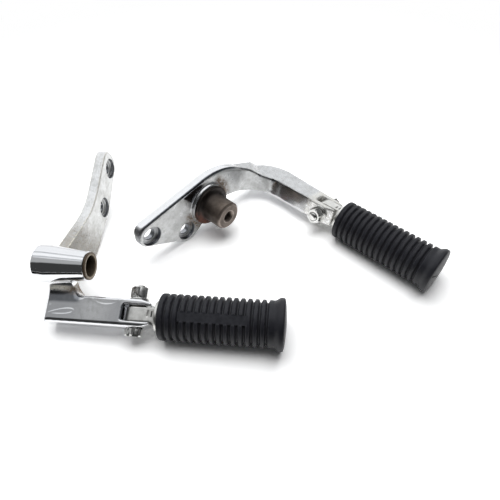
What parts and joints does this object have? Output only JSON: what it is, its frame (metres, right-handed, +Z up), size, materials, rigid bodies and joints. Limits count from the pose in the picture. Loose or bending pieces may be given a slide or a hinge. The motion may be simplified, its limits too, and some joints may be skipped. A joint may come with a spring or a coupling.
{
  "type": "pair of motorcycle footpegs",
  "caption": "Folding ribbed rubber footpegs hinged in the clevis arms of chromed cast brackets, with a bushed lever tube on one side and a turned pivot post on the other.",
  "frame": {"origin": "middle of the pair's outline on the floor it lies on", "axes": "+X along the pair's longest side, +Y away from the viewer, +Z up from the floor"},
  "size_m": [0.3562, 0.2226, 0.0604],
  "materials": {
    "chromed_bracket": "worn polished chrome with pits and rust specks",
    "zinc_plate": "dull zinc plate",
    "spring_steel": "dark spring steel",
    "peg_steel": "satin plated steel",
    "black_rubber": "satin black moulded rubber",
    "oilite_bronze": "dull brown sintered bronze",
    "turned_steel": "turned steel with brown staining"
  },
  "bodies": {
    "brackets": {"left_bracket": "chromed_bracket", "right_bracket": "chromed_bracket", "left_outer_bushing": "oilite_bronze", "left_inner_bushing": "oilite_bronze", "right_pivot_post": "turned_steel", "left_hinge_bolt": "zinc_plate", "left_hinge_nut": "zinc_plate", "left_hinge_washer": "zinc_plate", "left_spring_washer": "spring_steel", "right_hinge_bolt": "zinc_plate", "right_hinge_nut": "zinc_plate", "right_hinge_washer": "zinc_plate", "right_spring_washer": "spring_steel"},
    "left_peg": {"left_peg_core": "peg_steel", "left_peg_rubber": "black_rubber"},
    "right_peg": {"right_peg_core": "peg_steel", "right_peg_rubber": "black_rubber"}
  },
  "joints": [
    {"name": "left_peg_fold", "type": "hinge", "parent": "brackets", "child": "left_peg", "pos_m": [-0.0947, -0.07892, 0.01863], "axis": [-0.0772, -0.9311, -0.3566], "range_deg": [0, 85]},
    {"name": "right_peg_fold", "type": "hinge", "parent": "brackets", "child": "right_peg", "pos_m": [0.07496, 0.0453, 0.01863], "axis": [-0.657, -0.705, 0.2672], "range_deg": [0, 85]}
  ]
}
